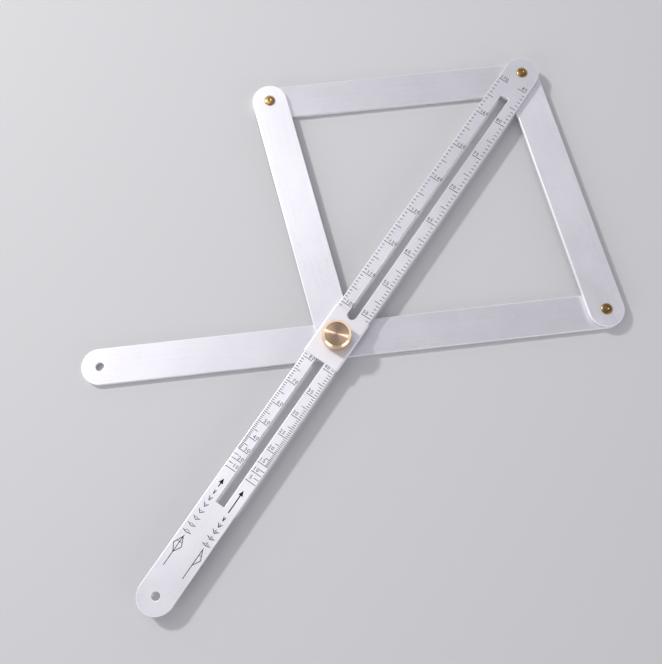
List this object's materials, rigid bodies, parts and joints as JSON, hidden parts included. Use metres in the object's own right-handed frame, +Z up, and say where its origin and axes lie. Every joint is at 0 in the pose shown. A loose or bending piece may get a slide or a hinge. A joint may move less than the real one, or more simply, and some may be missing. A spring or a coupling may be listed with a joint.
{
  "type": "corner angle finder",
  "caption": "Folding rhombus of flat bars with a slotted angle scale on its diagonal, a sliding cursor and a brass thumb nut; finds and bisects corner angles.",
  "frame": {"origin": "top pivot's axis, on the underside that the tool is laid down on", "axes": "+X along the scale bar from the top pivot towards its hanging hole, +Z up through the layers towards the thumb nut, +Y towards the right link"},
  "size_m": [0.2839, 0.1858, 0.0129],
  "materials": {
    "scale_aluminium": "satin silver anodised, printed black",
    "bar_aluminium": "satin silver anodised, brushed lengthways",
    "cursor_aluminium": "satin silver anodised, bead blasted",
    "rivet_brass": "formed, slightly tarnished",
    "screw_brass": "machined",
    "nut_brass": "lathe turned face, bright bevel, straight knurl",
    "shim_nylon": "natural nylon sheet"
  },
  "bodies": {
    "scale": {"scale_bar": "scale_aluminium", "top_rivet": "rivet_brass"},
    "top_side": {"top_link": "bar_aluminium", "top_shim_lower": "shim_nylon", "left_shim": "shim_nylon"},
    "left_side": {"left_link": "bar_aluminium", "left_rivet": "rivet_brass"},
    "right_side": {"right_link": "bar_aluminium", "top_shim_upper": "shim_nylon", "right_rivet": "rivet_brass"},
    "arm": {"long_arm": "bar_aluminium", "right_shim": "shim_nylon", "clamp_shim_lower": "shim_nylon"},
    "clamp": {"cursor": "cursor_aluminium", "clamp_screw": "screw_brass", "clamp_shim_upper": "shim_nylon", "clamp_washer": "screw_brass"},
    "nut": {"thumb_nut": "nut_brass"}
  },
  "joints": [
    {"name": "fold", "type": "hinge", "parent": "scale", "child": "top_side", "pos_m": [0, 0, 0], "axis": [0, 0, -1], "range_deg": [-44.2, 35.8]},
    {"name": "left_pivot", "type": "hinge", "parent": "top_side", "child": "left_side", "pos_m": [0.07371, -0.08539, 0], "axis": [0, 0, 1], "range_deg": [-88.4, 71.6]},
    {"name": "top_pivot", "type": "hinge", "parent": "scale", "child": "right_side", "pos_m": [0, 0, 0], "axis": [0, 0, 1], "range_deg": [-44.2, 35.8]},
    {"name": "right_pivot", "type": "hinge", "parent": "right_side", "child": "arm", "pos_m": [0.07371, 0.08539, 0], "axis": [0, 0, -1], "range_deg": [-88.4, 71.6]},
    {"name": "clamp_pivot", "type": "hinge", "parent": "arm", "child": "clamp", "pos_m": [0.14741, 0, 0], "axis": [0, 0, 1], "range_deg": [-44.2, 35.8]},
    {"name": "nut_turn", "type": "hinge", "parent": "clamp", "child": "nut", "pos_m": [0.14741, 0, 0], "axis": [0, 0, 1], "range_deg": [0, 450]}
  ],
  "couplings": [
    {"joint": "left_pivot", "follows": "fold", "ratio": 2},
    {"joint": "top_pivot", "follows": "fold", "ratio": 1},
    {"joint": "right_pivot", "follows": "fold", "ratio": 2},
    {"joint": "clamp_pivot", "follows": "fold", "ratio": 1}
  ]
}
